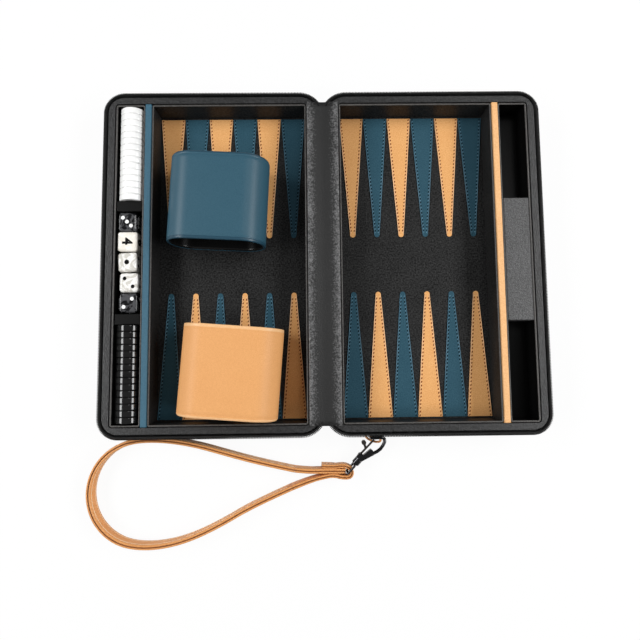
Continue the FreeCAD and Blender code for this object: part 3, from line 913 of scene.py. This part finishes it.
# %% Where the pips of each number sit
pip_step = 3.35 * mm
pip_radius = 1.6 * mm
lone_pip_radius = 2.0 * mm
pip_rings = ((1.0, 0.0), (0.9, 0.05), (0.6, 0.03), (0.3, 0.015))     # share of the radius, rise in mm
paint_lift = 0.01 * mm
pip_places = {1: [(0, 0)], 2: [(1, 1), (-1, -1)], 3: [(-1, 1), (0, 0), (1, -1)],
              4: [(-1, -1), (-1, 1), (1, -1), (1, 1)], 5: [(-1, -1), (-1, 1), (0, 0), (1, -1), (1, 1)],
              6: [(-1, -1), (-1, 0), (-1, 1), (1, -1), (1, 0), (1, 1)]}


def face_frames(top, east, north):
    """For each face: outward direction, its own right and up, and its number."""
    x, y, z = Vector((1, 0, 0)), Vector((0, 1, 0)), Vector((0, 0, 1))
    return [(z, x, y, top), (-z, x, -y, 7 - top), (x, -z, y, east), (-x, z, y, 7 - east),
            (y, x, -z, north), (-y, x, z, 7 - north)]


def add_pip(verts, faces, middle, right, up, out, radius):
    base = len(verts)
    spokes = 20
    last = len(pip_rings) - 1
    for size, rise in pip_rings:
        for k in range(spokes):
            angle = 2 * math.pi * k / spokes
            verts.append(middle + (right * math.cos(angle) + up * math.sin(angle)) * (radius * size)
                         + out * (rise * mm))
    for ring in range(last):
        for k in range(spokes):
            j = (k + 1) % spokes
            faces.append((base + ring * spokes + k, base + ring * spokes + j,
                          base + (ring + 1) * spokes + j, base + (ring + 1) * spokes + k))
    faces.append(tuple(base + last * spokes + k for k in range(spokes)))


def die_pips(node_name, top, east, north, paint, turn=0.0, flip=False):
    """turn is the die's own angle on the floor. flip mirrors the diagonals of its pips."""
    low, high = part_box(node_name)
    centre = (low + high) / 2
    half = (high.z - low.z) / 2
    verts, faces = [], []
    for out, right, up, number in face_frames(top, east, north):
        mirror = -1 if flip else 1
        for across, along in pip_places[number]:
            spot = out * (half + paint_lift) + right * (across * mirror * pip_step) + up * (along * pip_step)
            add_pip(verts, faces, spot, right, up, out, lone_pip_radius if number == 1 else pip_radius)
    angle = math.radians(turn)
    verts = [centre + Vector((v.x * math.cos(angle) - v.y * math.sin(angle),
                              v.x * math.sin(angle) + v.y * math.cos(angle), v.z)) for v in verts]
    return make_piece(node_name + "_pips", verts, faces, [paint], node_name + "_body")


die_pips("black_die_1", 3, 6, 2, "white_pip")
die_pips("black_die_2", 2, 3, 6, "white_pip")
die_pips("pearl_die_1", 1, 4, 2, "black_pip", turn=3)
die_pips("pearl_die_2", 2, 4, 1, "black_pip", flip=True)


# %% Numbers of the doubling cube
one_digit_size = 11.5 * mm
two_digit_size = 9.0 * mm
stroke_gain = 0.40 * mm
ink_depth = 0.03 * mm


def cube_numbers():
    low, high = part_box("doubling_cube")
    centre = (low + high) / 2
    half = (high.z - low.z) / 2
    x, y, z = Vector((1, 0, 0)), Vector((0, 1, 0)), Vector((0, 0, 1))
    digits_up = [("4", z, -y, x), ("8", x, y, z), ("2", -x, -y, z), ("16", y, -x, z), ("32", -y, x, z),
                 ("64", -z, y, x)]
    verts, faces = [], []
    for text, out, right, up in digits_up:
        curve = bpy.data.curves.new("number", "FONT")
        curve.body = text
        curve.size = one_digit_size if len(text) == 1 else two_digit_size
        curve.align_x = "CENTER"
        curve.align_y = "CENTER"
        curve.extrude = ink_depth
        curve.offset = stroke_gain
        holder = bpy.data.objects.new("number", curve)
        bpy.context.scene.collection.objects.link(holder)
        shape = bpy.data.meshes.new_from_object(holder.evaluated_get(bpy.context.evaluated_depsgraph_get()))
        base = len(verts)
        for v in shape.vertices:
            verts.append(centre + out * (half + 0.02 * mm + v.co.z) + right * v.co.x + up * v.co.y)
        faces.extend(tuple(base + k for k in polygon.vertices) for polygon in shape.polygons)
        bpy.data.objects.remove(holder)
        bpy.data.meshes.remove(shape)
    return make_piece("doubling_cube_numbers", verts, faces, ["black_pip"], "doubling_cube_body",
                      smooth=False)


print("number faces", len(cube_numbers().data.polygons))

# %% [markdown]
# ## Dice cups
# Each cup is an oval tube of thick smooth leather with a closed end and a dark glossy lining. The
# outside, the rolled lip and the inside are one chain of rings from the closed end out over the lip and
# back down. A fine crease runs round just behind each rolled edge.

# %% Size of the oval, common to both cups
cup_width = 80 * mm
cup_thick = 42 * mm
cup_corner = 19.6 * mm
cup_length = {"navy": 71 * mm, "tan": 72.5 * mm}
end_rounding = 1.9      # of the closed end, in mm
crease_depth = 0.22     # of the fine line behind each rolled edge, in mm


def oval_ring(inset, y, spokes=12):
    """Rounded oblong in the X-Z plane, resting on z = 0 when the inset is nothing."""
    radius = max(cup_corner - inset, 2 * mm)
    half_x = cup_width / 2 - inset - radius
    half_z = cup_thick / 2 - inset - radius
    ring = []
    for sx, sz, start in ((1, 1, 0), (-1, 1, 90), (-1, -1, 180), (1, -1, 270)):
        for k in range(spokes + 1):
            angle = math.radians(start + 90 * k / spokes)
            ring.append(Vector((sx * half_x + radius * math.cos(angle), y,
                                cup_thick / 2 + sz * half_z + radius * math.sin(angle))))
    return ring


def cup_stations(length):
    """(inset in mm, y, material) from the middle of the closed end, over the lip, to the inner floor."""
    half = length / 2
    closed = [(15, -half, 0), (4, -half, 0), (end_rounding, -half, 1)]
    steps = 5
    for k in range(1, steps + 1):
        angle = math.radians(90 * k / steps)
        closed.append((end_rounding - end_rounding * math.sin(angle),
                       -half + (end_rounding - end_rounding * math.cos(angle)) * mm, 1))
    crease = [(0, -half + 2.6 * mm, 0), (crease_depth, -half + 2.9 * mm, 0), (0, -half + 3.2 * mm, 0)]
    wall_steps = 12
    wall = [(0, -half + length * k / wall_steps, 0) for k in range(1, wall_steps)]
    front = [(0, half - 2.9 * mm, 0), (crease_depth, half - 2.6 * mm, 0), (0, half - 2.3 * mm, 1),
             (0, half - 0.7 * mm, 1), (0.2, half - 0.25 * mm, 1), (0.6, half, 1), (1.7, half, 1),
             (2.1, half - 0.25 * mm, 1), (2.25, half - 0.9 * mm, 2), (3.1, half - 1.2 * mm, 2),
             (3.2, half - 2 * mm, 2), (3.2, -half + 5 * mm, 2), (4.2, -half + 4 * mm, 2),
             (15, -half + 4 * mm, 2)]
    return closed + crease + wall + front


def build_cup(colour, turn):
    """turn is the angle, in degrees, at which the cup lies."""
    low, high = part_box(colour + "_cup")
    stations = cup_stations(cup_length[colour])
    rings = [oval_ring(inset * mm, y) for inset, y, mark in stations]
    count = len(rings[0])
    verts = [v for ring in rings for v in ring]
    faces, marks = [], []
    for r in range(len(rings) - 1):
        for k in range(count):
            j = (k + 1) % count
            faces.append((r * count + k, r * count + j, (r + 1) * count + j, (r + 1) * count + k))
            marks.append(stations[r + 1][2])
    faces.append(tuple(range(count)))
    marks.append(0)
    faces.append(tuple((len(rings) - 1) * count + k for k in range(count)))
    marks.append(2)
    angle = math.radians(turn)
    middle_x, middle_y = (low.x + high.x) / 2, (low.y + high.y) / 2
    verts = [Vector((middle_x + v.x * math.cos(angle) - v.y * math.sin(angle),
                     middle_y + v.x * math.sin(angle) + v.y * math.cos(angle), low.z + v.z)) for v in verts]
    piece = make_piece(colour + "_cup_leather", verts, faces,
                       [colour + "_cup_leather", colour + "_edge_leather", "cup_lining"],
                       colour + "_cup_body")
    for face, mark in zip(piece.data.polygons, marks):
        face.material_index = mark
    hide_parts(colour + "_cup")
    return piece


for colour, turn in (("navy", 177), ("tan", -4.5)):
    print(build_cup(colour, turn).name)

# %% [markdown]
# ## Spine strip
# One strip of leather bridges the fold and rests on the hinge-side wall of each half. It is one fixed piece
# that rides on neither half.

# %% The strip, as a grid with a shallow valley and rolled edges
strip_low, strip_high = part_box("spine_strip")
strip_thick = 1.2 * mm
valley_depth = 0.8 * mm
valley_width = 7.0 * mm
raised = 0.5 * mm       # how far the long edges stand up
roll_depth = 0.8 * mm
roll_width = 1.0 * mm
thinned = 0.3 * mm      # off the underside, along the rolled edges


def strip_section():
    """Top of the strip from left to right, then its underside back, as (x, z)."""
    half = strip_high.x
    flat = strip_high.z
    columns = 44
    top = []
    for k in range(columns + 1):
        x = -half + 2 * half * k / columns
        edge = min(1.0, (half - abs(x)) / roll_width)
        roll = (1 - math.sqrt(max(0.0, 1 - (1 - edge) ** 2))) * roll_depth
        dip = valley_depth * math.exp(-(x / valley_width) ** 2) - raised * (abs(x) / half) ** 3
        top.append((x, flat - dip - roll))
    under = [(x, z - strip_thick + (thinned if abs(x) > half - roll_width else 0)) for x, z in top[::-1]]
    return [(x, max(z, strip_low.z)) for x, z in top + under]


def build_strip():
    section = strip_section()
    rows = 60
    verts = []
    for r in range(rows + 1):
        y = strip_low.y + (strip_high.y - strip_low.y) * r / rows
        verts.extend(Vector((x, y, z)) for x, z in section)
    ring = len(section)
    faces = []
    for r in range(rows):
        for k in range(ring):
            j = (k + 1) % ring
            faces.append((r * ring + k, r * ring + j, (r + 1) * ring + j, (r + 1) * ring + k))
    faces.append(tuple(range(ring)))
    faces.append(tuple(rows * ring + k for k in range(ring)))
    piece = make_piece("spine_strip_leather", verts, faces, ["spine_leather"], None)
    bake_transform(piece)
    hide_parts("spine_strip")
    return piece


print("strip faces", len(build_strip().data.polygons))

# %% [markdown]
# ## Floor and light
# The set lies on white paper between two long soft boxes, low on either side, so that the grain shows
# and the polished pieces mirror no lamp. A third, small one lifts the half that lies further away from
# them. The floor shows nearly pure white to the camera, and still takes a faint shadow.

# %% Floor
floor_size = 3.0
floor_drop = 0.2 * mm       # keeps the floor clear of the undersides that rest on it
floor_mesh = bpy.data.meshes.new("floor")
floor_mesh.from_pydata([(x * floor_size / 2, y * floor_size / 2, -floor_drop)
                        for x, y in ((-1, -1), (1, -1), (1, 1), (-1, 1))], [], [(0, 1, 2, 3)])
floor = bpy.data.objects.new("floor", floor_mesh)
bpy.context.scene.collection.objects.link(floor)
floor_material = bpy.data.materials.new("white_floor")
floor_material.use_nodes = True
tree = floor_material.node_tree
paper = tree.nodes["Principled BSDF"]
paper.inputs["Base Color"].default_value = (0.85, 0.85, 0.85, 1)
paper.inputs["Roughness"].default_value = 0.9
glow = tree.nodes.new("ShaderNodeEmission")
glow.inputs["Color"].default_value = (1, 1, 1, 1)
path_kind = tree.nodes.new("ShaderNodeLightPath")
seen = add_math(tree, "MULTIPLY", path_kind.outputs["Is Camera Ray"], 0.93)
mixer = tree.nodes.new("ShaderNodeMixShader")
tree.links.new(seen, mixer.inputs["Fac"])
tree.links.new(paper.outputs["BSDF"], mixer.inputs[1])
tree.links.new(glow.outputs["Emission"], mixer.inputs[2])
tree.links.new(mixer.outputs["Shader"], tree.nodes["Material Output"].inputs["Surface"])
floor_mesh.materials.append(floor_material)

# %% World and lamps
world = bpy.data.worlds.new("studio")
bpy.context.scene.world = world
world.use_nodes = True
sky = world.node_tree.nodes["Background"]
sky.inputs["Color"].default_value = (1, 1, 1, 1)
seen_directly = world.node_tree.nodes.new("ShaderNodeLightPath")
fill_light = 0.20       # what the sky gives the object
white_sky = 0.80        # what it adds for the camera alone
level = add_math(world.node_tree, "MULTIPLY", seen_directly.outputs["Is Camera Ray"], white_sky)
world.node_tree.links.new(add_math(world.node_tree, "ADD", level, fill_light), sky.inputs["Strength"])


def soft_box(name, place, aim, size, power):
    light = bpy.data.lights.new(name, "AREA")
    light.shape = "RECTANGLE"
    light.size = size[0]
    light.size_y = size[1]
    light.energy = power
    lamp = bpy.data.objects.new(name, light)
    bpy.context.scene.collection.objects.link(lamp)
    lamp.location = place
    lamp.rotation_euler = (Vector(aim) - Vector(place)).to_track_quat("-Z", "Y").to_euler()
    print(name, power, "W")


soft_box("key_from_left", (-0.95, 0.00, 0.78), (0, 0, 0), (1.3, 0.36), 12.5)
soft_box("key_from_right", (0.95, 0.00, 0.78), (0, 0, 0), (1.3, 0.36), 13.5)
soft_box("glance_on_right_half", (0.34, 0.34, 1.10), (0.08, 0, 0), (0.30, 0.30), 1.2)
bpy.context.scene.view_settings.view_transform = "Standard"
